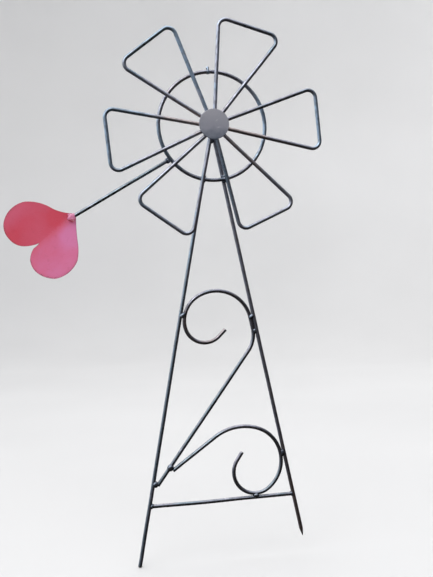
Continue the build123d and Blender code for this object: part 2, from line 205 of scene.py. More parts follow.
# --- centrelines in the front view
def line(a, b, step=2.0):
    count = max(1, round(hypot(b[0] - a[0], b[1] - a[1]) / step))
    return [tuple(point) for point in np.linspace(a, b, count + 1)]


def arc(centre, radius, start, sweep, step=1.6):
    count = max(2, round(abs(radians(sweep)) * radius / step))
    return [polar(centre, radius, start + sweep * i / count) for i in range(count + 1)]


def joined(*runs):
    """Runs that follow one another, without their doubled end points."""
    points = []
    for run in runs:
        points += run if not points else run[1:]
    return points


def bent(corners, radius):
    """A bent wire through corners, each rounded to the same radius."""
    runs = []
    here = corners[0]
    for before, corner, after in zip(corners, corners[1:], corners[2:]):
        corner = Vector(corner)
        back = (Vector(before) - corner).normalized()
        on = (Vector(after) - corner).normalized()
        half = back.angle(on) / 2
        middle = corner + (back + on).normalized() * radius / sin(half)
        first = corner + back * radius / tan(half)
        last = corner + on * radius / tan(half)
        start = atan2(first.y - middle.y, first.x - middle.x)
        turn = (atan2(last.y - middle.y, last.x - middle.x) - start + pi) % (2 * pi) - pi
        runs += [line(here, tuple(first)), arc(tuple(middle), radius, degrees(start), degrees(turn), 1.1)]
        here = tuple(last)
    return joined(*runs, line(here, corners[-1]))


def upper_scroll_line():
    """From the foot of the brace up to the end of the curl, with its welded points."""
    touch = beside_leg(TOP_CENTRE_Z + TOP_R * sin(LEAN), TOUCH)
    top = polar(touch, -TOP_R, LEG_ANGLE)
    elbow_top = beside_leg(ELBOW_Z, TOUCH)
    elbow = polar(elbow_top, -ELBOW_R, LEG_ANGLE)
    elbow_low = polar(elbow, ELBOW_R, BRACE_ANGLE - 90)
    shoulder_reach = (SHOULDER_R + TOUCH - from_leg(*top, -1)) / (TOP_R - SHOULDER_R)
    shoulder_from = degrees(acos(shoulder_reach)) - LEG_ANGLE
    shoulder = polar(top, TOP_R - SHOULDER_R, shoulder_from)
    curl = polar(shoulder, SHOULDER_R - CURL_R, CURL_FROM)
    curl_end = polar(curl, CURL_R, CURL_TO)
    meets = radians(90 - LEG_ANGLE - BRACE_ANGLE)
    reach = (from_leg(*elbow_low, -1) - ROD_R * (1 + cos(meets)) - WELD_ROOM) / sin(meets) - BLOB_GAP
    foot = polar(elbow_low, reach, BRACE_ANGLE + 180)
    path = joined(
        line(foot, elbow_low),
        arc(elbow, ELBOW_R, BRACE_ANGLE - 90, 90 - BRACE_ANGLE + LEG_ANGLE),
        line(elbow_top, touch),
        arc(top, TOP_R, LEG_ANGLE, shoulder_from - LEG_ANGLE),
        arc(shoulder, SHOULDER_R, shoulder_from, CURL_FROM - shoulder_from),
        arc(curl, CURL_R, CURL_FROM, CURL_TO - CURL_FROM),
        line(curl_end, polar(curl_end, CURL_TAIL, CURL_TO + 90)),
    )
    edge_x = touch[0] + ROD_R * cos(LEAN)
    welds = (
        shifted((edge_x, touch[1]), TOUCH_BEAD),
        shifted(elbow_top, ELBOW_BEAD),
        shifted((-edge_x, shoulder[1] + SHOULDER_R * sin(LEAN)), SHOULDER_BEAD),
        shifted(foot, FOOT_BLOB),
    )
    return path, welds, elbow_low


def lower_scroll_line(elbow_low):
    """From the upper scroll's brace round and down to the cross bar, with its welded points."""
    centre = beside_leg(LOW_CENTRE_Z, LOW_R + TOUCH)
    rise_centre = polar(centre, LOW_R - LOW_RISE_R, LOW_RISE_FROM)
    rise_foot = polar(rise_centre, LOW_RISE_R, LOW_RISE_ANGLE + 90)
    curl_z = BAR_Z + REST_SHARE * BAR_RISE + TOUCH + LOW_CURL_R
    curl_from = degrees(asin((curl_z - LOW_CENTRE_Z) / (LOW_R - LOW_CURL_R)))
    curl = polar(centre, LOW_R - LOW_CURL_R, curl_from)
    tail = polar(curl, LOW_CURL_R, LOW_CURL_END)
    brace = radians(BRACE_ANGLE)
    split = brace - radians(LOW_RISE_ANGLE)
    off = (rise_foot[0] - elbow_low[0]) * sin(brace) - (rise_foot[1] - elbow_low[1]) * cos(brace)
    run = (off - ROD_R * (1 + cos(split)) - WELD_ROOM) / sin(split) - BLOB_GAP
    start = polar(rise_foot, run, LOW_RISE_ANGLE + 180)
    path = joined(
        line(start, rise_foot),
        arc(rise_centre, LOW_RISE_R, LOW_RISE_ANGLE + 90, LOW_RISE_FROM - LOW_RISE_ANGLE - 90),
        arc(centre, LOW_R, LOW_RISE_FROM, curl_from - LOW_RISE_FROM),
        arc(curl, LOW_CURL_R, curl_from, LOW_CURL_END - 360 - curl_from),
        line(tail, polar(tail, LOW_CURL_TAIL, LOW_CURL_END - 90)),
    )
    rub_z = LOW_CENTRE_Z + LOW_R * sin(LEAN)
    rub = (leg_x(rub_z) - ROD_R, rub_z)
    rest = (curl[0], curl_z - LOW_CURL_R - ROD_R)
    return path, (rub, rest, shifted(start, START_BLOB))


def inward(corner, rim):
    """Follow a wire from its corner through its point on the rim until it is WIRE_ROOT from the axis."""
    corner, rim, axis = Vector(corner), Vector(rim), Vector((0, HUB_Z))
    step = (rim - corner).normalized()
    across = (rim - axis).dot(step)
    more = -across - sqrt(across**2 - (rim - axis).length_squared + WIRE_ROOT**2)
    return tuple(rim + step * more)


def blade_corners(heading, spread, reach_a, reach_b, rim_heading, rim_spread):
    first = clock(reach_a, heading - spread)
    second = clock(reach_b, heading + spread)
    root_a = inward(first, clock(RIM_R, rim_heading - rim_spread))
    root_b = inward(second, clock(RIM_R, rim_heading + rim_spread))
    return root_a, first, second, root_b


UPPER, (TOUCH_AT, ELBOW_AT, SHOULDER_AT, FOOT_AT), ELBOW_LOW = upper_scroll_line()
LOWER, (RUB_AT, REST_AT, START_AT) = lower_scroll_line(ELBOW_LOW)

# --- where the welds are, per body
RING_LOW_Z = HUB_Z - RING_R * cos(LEAN) + 0.3
SEAM = polar((0, HUB_Z), RING_R, SEAM_ANGLE)
LEG_UP = {side: (-side * sin(LEAN), cos(LEAN)) for side in (-1, 1)}
BRACE_WAY = (cos(radians(BRACE_ANGLE)), sin(radians(BRACE_ANGLE)))

# x, z, direction of the seam in the front view, bead radius, how far off the middle plane, length factor
SIDE_BEADS = [
    (*TOUCH_AT, (0.62, 0.78), 3.7, 2.9, 1.35),
    (*ELBOW_AT, LEG_UP[1], 2.7, 2.6, 1.6),
    (*SHOULDER_AT, (0.8, 0.6), 3.7, 2.9, 1.55),
    (*RUB_AT, LEG_UP[1], 3.3, 2.6, 1.7),
    (*REST_AT, (1.0, 0.0), 3.3, 2.6, 1.5),
    (*START_AT, BRACE_WAY, 5.3, 1.0, 1.05),
    (*FOOT_AT, LEG_UP[-1], 4.9, 1.0, 1.05),
]
FRAME_HEAT = [(x, z) for x, z, *_ in SIDE_BEADS]
FRAME_HEAT += [(leg_x(BAR_Z, side), BAR_Z) for side in (-1, 1)]
FRAME_HEAT += [(leg_x(RING_LOW_Z, side), RING_LOW_Z) for side in (-1, 1)]
FRAME_HEAT += [(0, HUB_Z - 15), SEAM, (TAIL_START - TAIL_BEAD_OUT, tail_z(TAIL_START - TAIL_BEAD_OUT))]
FRAME_HEAT += [(TAIL_END + reach, tail_z(TAIL_END + reach)) for reach in (15, 24)]
WHEEL_HEAT = []
for row in BLADES:
    corners = blade_corners(*row)
    WHEEL_HEAT += [corners[0], corners[3]]


# --- mesh helpers
def wobble(seed, at, size):
    """Smooth noise from -1 to 1, with features about size long."""
    return noise.noise(Vector((at / size, seed * 7.31, seed * 1.7)))


def wobble3(point, size, seed=0.0):
    """The same kind of noise, over a point in space."""
    return noise.noise(Vector((point[0] / size + seed, point[1] / size - seed, point[2] / size)))


def close_up(mesh, reach, fill):
    """Join points that fall together, close gaps if asked, and turn every face outwards."""
    work = bmesh.new()
    work.from_mesh(mesh)
    bmesh.ops.remove_doubles(work, verts=work.verts, dist=reach)
    if fill:
        bmesh.ops.holes_fill(work, edges=[edge for edge in work.edges if edge.is_boundary], sides=0)
    bmesh.ops.recalc_face_normals(work, faces=work.faces)
    for face in work.faces:
        face.smooth = True
    work.to_mesh(mesh)
    work.free()


def placed(name, data):
    """A new object in the scene."""
    made = bpy.data.objects.new(name, data)
    bpy.context.scene.collection.objects.link(made)
    return made


def make(name, points, faces, material, body, nodes=(), layers=None, reach=0.000002, fill=False):
    """A mesh piece from millimetre points, riding on a body in place of its CAD nodes."""
    mesh = bpy.data.meshes.new(name)
    co = np.array(points, float) * MM
    co = np.clip(co, np.array(cad_low) + 1e-6, np.array(cad_high) - 1e-6)
    mesh.from_pydata(co.tolist(), [], faces)
    mesh.validate()
    for layer, values in (layers or {}).items():
        values = np.array(values, np.float32)
        kind, field = ("FLOAT_VECTOR", "vector") if values.ndim > 1 else ("FLOAT", "value")
        mesh.attributes.new(layer, kind, "POINT").data.foreach_set(field, values.ravel())
    close_up(mesh, reach, fill)
    mesh.materials.append(material)
    piece = placed(name, mesh)
    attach(piece, body)
    if nodes:
        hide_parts(*nodes)
    return piece


def grid_faces(rows, columns, wrap_rows=False, wrap_columns=True, base=0):
    """Quads of a grid of points that are listed row by row from base on."""
    faces = []
    for i in range(rows if wrap_rows else rows - 1):
        for j in range(columns if wrap_columns else columns - 1):
            a, b = i * columns, (i + 1) % rows * columns
            k = (j + 1) % columns
            faces.append((base + a + j, base + a + k, base + b + k, base + b + j))
    return faces


# --- round bars
SIDES = 20
NICK_REACH = 1.6  # in widths of the nick
HEAT_REACH = 12.0
CUT_REACH = 1.2  # bright metal shows this far in from a fresh cut
BROKEN_EDGE = 0.32  # share of the radius that a bar's cut end is softened over
# how far in from the end, as a share of that, and how thick the bar is there
END_SECTION = ((0.0, 0.35), (0.03, 0.72), (0.1, 0.9), (0.45, 0.985))


def unit(vectors):
    return vectors / np.linalg.norm(vectors, axis=1)[:, None]


def stations(points, closed):
    """Direction, distance along and bend at each point of a centreline; 1 is as tight as a blade's."""
    after, before = np.roll(points, -1, 0), np.roll(points, 1, 0)
    if not closed:
        after[-1] = 2 * points[-1] - points[-2]
        before[0] = 2 * points[0] - points[1]
    steps = np.linalg.norm(np.diff(points, axis=0), axis=1)
    into, out = unit(points - before), unit(after - points)
    bend = np.abs(into[:, 0] * out[:, 1] - into[:, 1] * out[:, 0]) / max(steps.mean(), 0.1) * WIRE_BEND
    bend = np.convolve(np.pad(bend, 2, mode="edge"), np.ones(5) / 5, mode="valid").clip(0, 1)
    return unit(after - before), np.concatenate([[0], np.cumsum(steps)]), bend


def bench_nicks(pick, total):
    """Nicks left by the bending bench: how far along, which way round, how deep and how wide."""
    nicks = []
    where = pick.uniform(15, 50)
    while where < total - 12:
        nicks.append((where, pick.uniform(0, 2 * pi), pick.uniform(0.05, 0.16), pick.uniform(1.4, 3.2)))
        where += pick.uniform(28, 75)
    return nicks


def capped(rows, total, cut):
    """Round off both ends of a bar over the length cut."""
    for end, inwards in ((0, 1), (-1, -1)):
        s, centre, deep, way, thick, bend = rows[end]
        cap = []
        for share, size in END_SECTION:
            shift = inwards * share * cut
            cap.append((s + shift, centre + way * shift, deep, way, thick * size, bend))
        if end == 0:
            rows = cap + [row for row in rows if row[0] > cut * 0.7]
        else:
            rows = [row for row in rows if row[0] < total - cut * 0.7] + cap[::-1]
    return rows


def levels(given):
    """Where along a bar a level is given and what it is there; a single number stands for the whole bar."""
    return tuple(zip(*given)) if isinstance(given, tuple) else ((0.0,), (given,))


def rod(
    name, path, seed, tone, lift=0.0, y=0, radius=ROD_R, heat_at=FRAME_HEAT, body="frame",
    closed=False, taper=None, loose=(), bow=0.0, sag=None,
):
    """A hand-bent round bar along a front-view line.

    It wanders a little, its section is never quite round, bends flatten it and the bench left nicks.
    tone is how brown the oxide is and lift how much the bar is painted lighter and greyer, a painted sheen
    standing in for light catching it; each is one number for the whole bar or pairs of how far along the
    bar and how much there. taper limits the radius near the first end. loose lists the freshly cut ends, 0
    for the first and 1 for the last. bow and sag bend a straight bar.
    """
    pick = random.Random(seed)
    points = np.array(path[:-1] if closed else path, float)
    way, along, bend = stations(points, closed)
    total = along[-1]
    nicks = bench_nicks(pick, total)
    rows = []
    for i, s in enumerate(along):
        fade = 1.0 if closed else min(1.0, s / 20, (total - s) / 20)
        side = 0.28 * wobble(seed, s, 70) * fade + bow * sin(pi * s / total)
        if sag:
            side += sag(s / total)
        depth = 0.22 * wobble(seed + 40, s, 90) * fade
        thick = radius * (1 + 0.01 * wobble(seed + 9, s, 24))
        if taper:
            thick = min(thick, taper(s))
        centre = points[i] + np.array((-way[i][1], way[i][0])) * side
        rows.append((s, centre, y + depth, way[i], thick, bend[i]))
    if not closed:
        rows = capped(rows, total, BROKEN_EDGE * radius)

    cuts = [(0.0, total)[end] for end in loose]
    tones, sheen_levels = levels(tone), levels(lift)
    verts, local = [], []
    values = {"heat": [], "bare": [], "tone": [], "lift": []}
    for s, centre, deep, direction, thick, curl in rows:
        near = min(hypot(centre[0] - x, centre[1] - z) for x, z in heat_at)
        values["heat"] += [exp(-((near / HEAT_REACH) ** 2))] * SIDES
        values["bare"] += [max([0.0] + [1 - abs(s - cut) / CUT_REACH for cut in cuts])] * SIDES
        values["tone"] += [np.interp(s / total, *tones)] * SIDES
        values["lift"] += [np.interp(s / total, *sheen_levels)] * SIDES
        normal = np.array((-direction[1], direction[0]))
        for j in range(SIDES):
            t = 2 * pi * j / SIDES
            r = 1 + 0.008 * noise.noise(Vector((s / 5.0, cos(t) * 1.6 + seed, sin(t) * 1.6)))
            for where, facing, depth, width in nicks:
                gap = abs(s - where) / width
                if gap < NICK_REACH:
                    r -= depth / radius * exp(-gap * gap) * max(0.0, cos(t - facing)) ** 3
            x, z = centre + normal * (thick * (1 - 0.035 * curl) * r * cos(t))
            verts.append((x, deep + thick * (1 + 0.015 * curl) * r * sin(t), z))
            local.append((s * MM + seed, cos(t) * radius * MM, sin(t) * radius * MM))

    faces = grid_faces(len(rows), SIDES, wrap_rows=closed)
    if not closed:
        for end, first in ((0, 0), (-1, (len(rows) - 1) * SIDES)):
            s, centre, deep, *_ = rows[end]
            middle = len(verts)
            verts.append((centre[0], deep, centre[1]))
            local.append((s * MM + seed, 0, 0))
            for level in values.values():
                level.append(level[first])
            faces += [(middle, first + j, first + (j + 1) % SIDES) for j in range(SIDES)]
    return make(name + "_bar", verts, faces, IRON, body, [name], {"rod": local, **values})


# --- materials
class Shader:
    """A procedural material, or the world, under construction."""

    def __init__(self, name, kind="materials", surface="Principled BSDF"):
        self.made = getattr(bpy.data, kind).new(name)
        self.made.use_nodes = True
        self.tree = self.made.node_tree
        self.surface = self.tree.nodes[surface]

    def plug(self, socket, value):
        """Link a socket to another's output, or give it a number or a colour."""
        if isinstance(value, bpy.types.NodeSocket):
            self.tree.links.new(value, socket)
        elif isinstance(value, tuple) and len(value) < len(socket.default_value):
            socket.default_value = (*value, 1.0)
        else:
            socket.default_value = value

    def node(self, kind, output, inputs, **settings):
        made = self.tree.nodes.new("ShaderNode" + kind)
        for key, value in settings.items():
            setattr(made, key, value)
        for key, value in inputs.items():
            self.plug(made.inputs[key], value)
        return made.outputs[output]

    def object_space(self):
        return self.node("TexCoord", "Object", {})

    def layer(self, name, output="Fac"):
        return self.node("Attribute", output, {}, attribute_name=name)

    def height(self, at):
        return self.node("SeparateXYZ", 2, {0: at})

    def stretched(self, at, scale, turn=(0, 0, 0)):
        return self.node("Mapping", 0, {"Vector": at, "Scale": scale, "Rotation": turn})

    def noise(self, at, scale, detail=3.0, rough=0.55, distort=0.0):
        inputs = {"Vector": at, "Scale": scale, "Detail": detail, "Roughness": rough, "Distortion": distort}
        return self.node("TexNoise", "Fac", inputs)

    def span(self, value, low, high, to_low=0.0, to_high=1.0, smooth=False):
        """The value's place between low and high, as a number from to_low to to_high."""
        inputs = {"Value": value, "From Min": low, "From Max": high, "To Min": to_low, "To Max": to_high}
        return self.node("MapRange", 0, inputs, interpolation_type="SMOOTHSTEP" if smooth else "LINEAR")

    def add(self, a, b):
        return self.node("Math", 0, {0: a, 1: b}, operation="ADD")

    def times(self, a, b):
        return self.node("Math", 0, {0: a, 1: b}, operation="MULTIPLY")

    def swing(self, value, pattern, amount):
        """The value moved up and down by how far a noise pattern is from its middle."""
        return self.add(value, self.times(self.add(pattern, -0.5), amount))

    def mix(self, amount, a, b):
        return self.node("Mix", 2, {0: amount, 6: a, 7: b}, data_type="RGBA")

    def ramp(self, value, *stops):
        colour = self.node("ValToRGB", "Color", {"Fac": value})
        elements = colour.node.color_ramp.elements
        while len(elements) < len(stops):
            elements.new(0.5)
        for element, (at, shade) in zip(elements, stops):
            element.position = at
            element.color = (*shade, 1.0)
        return colour

    def bump(self, height, distance, strength=1.0, under=None):
        inputs = {"Height": height, "Distance": distance, "Strength": strength}
        if under:
            inputs["Normal"] = under
        return self.node("Bump", "Normal", inputs)

    def set(self, **sockets):
        for key, value in sockets.items():
            self.plug(self.surface.inputs[key.replace("_", " ")], value)
        return self.made


# dark, middle and light streaks of the oxide
OXIDE = {
    "teal": ((0.15, 0.19, 0.215), (0.27, 0.325, 0.36), (0.4, 0.455, 0.5)),
    "grey": ((0.215, 0.215, 0.25), (0.39, 0.388, 0.44), (0.56, 0.555, 0.61)),
    "brown": ((0.22, 0.178, 0.165), (0.4, 0.335, 0.315), (0.58, 0.51, 0.49)),
}
# lighter colours that the lift layer mixes in: a painted sheen of light on the bars
SHEEN_COLOURS = {"teal": (0.5, 0.66, 0.82), "grey": (0.66, 0.7, 0.8), "brown": (0.76, 0.65, 0.61)}
SCORCH = (
    (0.12, (0.2, 0.19, 0.2)),
    (0.32, (0.24, 0.17, 0.11)),
    (0.55, (0.095, 0.105, 0.17)),
    (0.85, (0.045, 0.045, 0.05)),
)


def iron_material():
    """Drawn steel bar under a thin dark oxide, blue-grey to brown, streaked along, scorched by welds and
    painted lighter and greyer where the lift layer gives a painted sheen.
    """
    s = Shader("dark_oxide_bar")
    at = s.layer("rod", "Vector")
    streak = s.noise(s.stretched(at, (60, 1100, 1100)), 1.0, 4, 0.6)
    patch = s.noise(s.stretched(at, (22, 90, 90)), 1.0, 4, 0.6, 0.6)
    speck = s.noise(at, 1500, 2, 0.6)
    teal, grey, brown = (s.ramp(streak, *zip((0.25, 0.55, 0.8), shades)) for shades in OXIDE.values())
    tone = s.swing(s.layer("tone"), patch, 1.3)
    greyed = s.span(tone, 0.1, 0.42, smooth=True)
    browned = s.span(tone, 0.55, 0.95, smooth=True)
    colour = s.mix(browned, s.mix(greyed, teal, grey), brown)
    # painted sheen: lift mixes the bar towards a lighter grey where it should catch the light
    lift = s.layer("lift")
    painted_sheen = s.mix(browned, s.mix(greyed, SHEEN_COLOURS["teal"], SHEEN_COLOURS["grey"]), SHEEN_COLOURS["brown"])
    colour = s.mix(s.times(lift, 0.8), colour, painted_sheen)
    cells = {"Vector": s.stretched(at, (130, 260, 260)), "Scale": 1.0}
    flake = s.span(s.node("TexVoronoi", "Distance", cells, feature="SMOOTH_F1"), 0.3, 0.62, smooth=True)
    colour = s.mix(s.times(flake, 0.4), colour, (0.12, 0.118, 0.13))
    heat = s.swing(s.layer("heat"), patch, 0.25)
    colour = s.mix(s.span(heat, 0.1, 0.55, 0.0, 0.8, True), colour, s.ramp(heat, *SCORCH))
    colour = s.mix(s.times(s.layer("bare"), 0.8), colour, (0.5, 0.49, 0.48))
    rough = s.add(s.span(patch, 0.3, 0.7, 0.15, 0.25), s.span(speck, 0.35, 0.7, -0.03, 0.06))
    for more in (s.times(flake, 0.1), s.times(lift, 0.2), s.span(heat, 0.3, 0.9, 0.0, 0.14)):
        rough = s.add(rough, more)
    relief = s.bump(flake, 0.00005, 0.5, s.bump(speck, 0.00005, 0.45, s.bump(streak, 0.00006, 0.5)))
    tint = (0.35, 0.36, 0.4)
    return s.set(Base_Color=colour, Roughness=rough, Metallic=1.0, Specular_Tint=tint, Normal=relief)


def weld_material():
    """Weld metal: dull, slag-grey in the ripples, with a painted highlight making it brighter and bluer on
    the crowns.
    """
    s = Shader("weld_metal")
    at = s.object_space()
    grain = s.noise(at, 900, 3, 0.6)
    patch = s.noise(at, 180, 3, 0.6, 0.8)
    crown = s.layer("crown")
    slag = ((0.05, 0.053, 0.066), (0.11, 0.117, 0.14), (0.17, 0.15, 0.138))
    colour = s.ramp(patch, *zip((0.3, 0.5, 0.7), slag))
    # painted highlight: the crowns are mixed towards a light blue
    colour = s.mix(s.times(crown, 0.75), colour, (0.52, 0.62, 0.74))
    rough = s.add(s.span(patch, 0.3, 0.7, 0.22, 0.38), s.times(crown, -0.08))
    tint = (0.4, 0.42, 0.45)
    relief = s.bump(grain, 0.0001, 0.6)
    return s.set(Base_Color=colour, Roughness=rough, Metallic=1.0, Specular_Tint=tint, Normal=relief)


def disc_material():
    """Bare grey disc painted darker and bluer towards its bottom as shade: rolled sheet grain, faint heat
    haze from the welds behind it, handling marks.
    """
    s = Shader("grey_disc_painted_shade")
    at = s.object_space()
    grain = s.noise(s.stretched(at, (260, 400, 2600), (0, radians(24), 0)), 1.0, 4, 0.65)
    cloud = s.noise(at, 55, 4, 0.6, 0.5)
    speck = s.noise(at, 1300, 2, 0.6)
    # painted shade: the disc's colour runs from a dark blue-grey at its bottom to a lighter grey at its top
    upwards = s.span(s.height(at), (HUB_Z - DISC_R) * MM, (HUB_Z + DISC_R) * MM)
    greys = ((0.085, 0.105, 0.142), (0.262, 0.264, 0.304), (0.332, 0.328, 0.364))
    colour = s.ramp(s.swing(upwards, cloud, 0.5), *zip((0.02, 0.42, 0.9), greys))
    colour = s.mix(s.span(grain, 0.35, 0.75, 0.0, 0.18), colour, (0.36, 0.36, 0.38))
    colour = s.mix(s.span(s.layer("heat"), 0.1, 1.0, 0.0, 0.35), colour, (0.2, 0.165, 0.185))
    mark = s.layer("bare")
    colour = s.mix(s.times(mark, 0.55), colour, (0.48, 0.48, 0.53))
    rough = s.add(s.span(cloud, 0.3, 0.7, 0.46, 0.6), s.times(mark, -0.15))
    relief = s.bump(speck, 0.00006, 0.35, s.bump(grain, 0.00006, 0.45))
    return s.set(Base_Color=colour, Roughness=rough, Metallic=0.35, Normal=relief)


def paint_material(name, deep, light, sheen_tint, chip_amount=1.0, painted_glint_amount=0.0):
    """Brushed-on satin enamel, unevenly tinted from deep through light to a lilac painted sheen along the
    fade layer, with a few chips to the dark metal along its edges.
    """
    s = Shader(name)
    at = s.object_space()
    cloud = s.noise(at, 26, 4, 0.55, 0.4)
    brush = s.noise(s.stretched(at, (240, 240, 1500), (0, radians(-40), 0)), 1.0, 3, 0.6)
    peel = s.noise(at, 420, 3, 0.55)
    grime = s.noise(at, 150, 5, 0.65, 1.0)
    # the fade layer picks the paint's colour; its light, lilac end is painted sheen
    tint = s.swing(s.layer("fade"), cloud, 0.55)
    colour = s.ramp(tint, (0.0, deep), (0.5, light), (1.0, sheen_tint))
    colour = s.mix(s.span(brush, 0.35, 0.75, 0.0, 0.12), colour, (0.66, 0.17, 0.22))
    colour = s.mix(s.span(grime, 0.58, 0.78, 0.0, 0.3), colour, (0.3, 0.045, 0.07))
    # painted glints: small light pink specks standing in for highlights
    if painted_glint_amount:
        painted_glints = s.span(s.noise(at, 800, 2, 0.5), 0.58, 0.66, 0.0, painted_glint_amount)
        colour = s.mix(painted_glints, colour, (0.88, 0.62, 0.72))
    rim = s.times(s.layer("rim"), chip_amount)
    chips = s.span(s.add(s.noise(at, 700, 3, 0.6), s.times(rim, 0.28)), 0.8, 0.84)
    colour = s.mix(chips, colour, (0.06, 0.045, 0.042))
    colour = s.mix(s.times(rim, 0.25), colour, (0.42, 0.06, 0.08))
    rough = s.add(s.span(cloud, 0.3, 0.7, 0.34, 0.46), s.span(grime, 0.5, 0.8, 0.0, 0.12))
    relief = s.bump(chips, 0.00012, -0.6, s.bump(peel, 0.0001, 0.35, s.bump(brush, 0.00006, 0.4)))
    return s.set(Base_Color=colour, Roughness=rough, Coat_Weight=0.35, Coat_Roughness=0.22, Normal=relief)


def zinc_material():
    """Zinc plate gone dull outdoors, with faint white bloom and turning marks."""
    s = Shader("dull_zinc")
    at = s.object_space()
    cloud = s.noise(at, 240, 4, 0.6, 0.5)
    grain = s.noise(s.stretched(at, (900, 5200, 900)), 1.0, 3, 0.6)
    greys = ((0.34, 0.34, 0.36), (0.52, 0.52, 0.54), (0.64, 0.645, 0.65))
    colour = s.ramp(cloud, *zip((0.3, 0.55, 0.8), greys))
    bloom = s.span(s.noise(at, 620, 3, 0.6), 0.6, 0.75, 0.0, 0.5)
    colour = s.mix(bloom, colour, (0.6, 0.6, 0.58))
    rough = s.add(s.span(cloud, 0.3, 0.7, 0.3, 0.45), s.times(bloom, 0.35))
    return s.set(Base_Color=colour, Roughness=rough, Metallic=0.85, Normal=s.bump(grain, 0.00005, 0.4))


def nylon_material():
    """The lock nut's insert, a dull off-white."""
    s = Shader("nylon_insert")
    cloud = s.noise(s.object_space(), 500, 3, 0.6)
    colour = s.ramp(cloud, (0.3, (0.5, 0.51, 0.5)), (0.7, (0.66, 0.66, 0.62)))
    rough = s.span(cloud, 0.3, 0.7, 0.38, 0.55)
    return s.set(Base_Color=colour, Roughness=rough, Normal=s.bump(cloud, 0.00008, 0.4))


IRON = iron_material()
WELD = weld_material()
DISC = disc_material()
# the heart's lilac third colour is painted sheen
HEART = paint_material("red_enamel", (0.6, 0.046, 0.086), (0.62, 0.092, 0.172), (0.63, 0.168, 0.352))
# the lump's deep colour is a painted shadow under it
LUMP = paint_material(
    "red_enamel_thick_painted_light", (0.3, 0.006, 0.018), (0.54, 0.11, 0.225), (0.64, 0.215, 0.4), 0.3, painted_glint_amount=0.6
)
ZINC = zinc_material()
NYLON = nylon_material()


# --- bars of the frame
LEG_TOP_Z = HUB_Z - 6.2
BAR_OVERLAP = 0.5  # the cross bar's ends go this far into the legs
# lift of the legs along their length: how much painted sheen they get
LEFT_LEG_SHEEN = (
    (0.0, 0.45), (0.25, 0.3), (0.45, 0.35), (0.53, 0.12), (0.6, 0.2), (0.7, 0.45), (1.0, 0.75),
)
RIGHT_LEG_TONES = ((0.0, 1.0), (0.12, 0.95), (0.22, 0.65), (0.6, 0.5), (1.0, 0.6))
UPPER_TONES = (
    (0.0, 0.1), (0.32, 0.14), (0.45, 0.3), (0.62, 0.66), (0.72, 0.2), (0.82, 0.75), (1.0, 0.85),
)
LOWER_TONES = ((0.0, 0.12), (0.2, 0.2), (0.34, 0.62), (0.5, 0.25), (0.7, 0.14), (1.0, 0.45))
RING_TONES = (
    (0.0, 0.55), (0.08, 0.75), (0.17, 0.6), (0.24, 0.08), (0.36, 0.25), (0.6, 0.45), (0.7, 0.05),
    (0.82, 0.05), (0.92, 0.5), (1.0, 0.55),
)
# lift of the ring round its length: how much painted sheen it gets
RING_SHEEN = (
    (0.0, 0.1), (0.12, 0.15), (0.22, 0.65), (0.3, 0.55), (0.4, 0.2), (0.62, 0.25), (0.7, 1.0),
    (0.82, 1.0), (0.92, 0.15), (1.0, 0.1),
)


def ground_point(s):
    """Radius near the right prong's tip, which was ground to a point by hand."""
    return POINT_R + (ROD_R - POINT_R) * s / POINT_LENGTH


def cross_bar_sag(t):
    """The cross bar dips a little, nearer its left end."""
    return -0.9 * exp(-(((t - 0.33) / 0.22) ** 2))


def leg_line(tip_z, side):
    return line((leg_x(tip_z, side), tip_z), (leg_x(LEG_TOP_Z, side), LEG_TOP_Z), 2.2)


left_line, right_line = leg_line(LEFT_TIP_Z, -1), leg_line(RIGHT_TIP_Z, 1)
rod("left_leg", left_line, 1, 0.12, LEFT_LEG_SHEEN, loose=(0,), bow=0.7)
rod("right_leg", right_line, 2, RIGHT_LEG_TONES, 0.45, taper=ground_point, loose=(0,), bow=0.3)
left_end = (leg_x(BAR_Z, -1) + BAR_OVERLAP, BAR_Z)
right_end = (leg_x(BAR_Z) - BAR_OVERLAP, BAR_Z + BAR_RISE)
rod("cross_bar", line(left_end, right_end), 3, 0.3, radius=ROD_R - 0.05, sag=cross_bar_sag)
rod("upper_scroll", UPPER, 4, UPPER_TONES, loose=(1,))
rod("lower_scroll", LOWER, 5, LOWER_TONES, loose=(1,))
ring_line = arc((0, HUB_Z), RING_R, SEAM_ANGLE, 360, 1.8)
rod("ring", ring_line, 6, RING_TONES, RING_SHEEN, RING_Y, closed=True)
tail_end_x = TAIL_START - 1.5
tail_line = line((TAIL_END, tail_z(TAIL_END)), (tail_end_x, tail_z(tail_end_x)))
rod("tail_rod", tail_line, 7, 0.16, y=RING_Y, radius=TAIL_R)

# --- blades of the wheel
BLADE_TONES = (
    ((0.0, 0.36), (0.4, 0.3), (0.6, 0.25), (1.0, 0.6)),
    ((0.0, 0.5), (0.4, 0.3), (0.46, -0.1), (0.58, -0.1), (0.66, 0.55), (1.0, 0.9)),
    ((0.0, 0.85), (0.4, 0.45), (0.6, 0.3), (1.0, 0.35)),
    ((0.0, 0.38), (0.4, 0.35), (0.6, 0.3), (1.0, 0.6)),
    ((0.0, 0.62), (0.4, 0.15), (0.62, -0.1), (0.78, 0.3), (0.86, 0.85), (1.0, 1.05)),
    ((0.0, 0.85), (0.4, 0.1), (0.6, 0.08), (1.0, 0.34)),
)
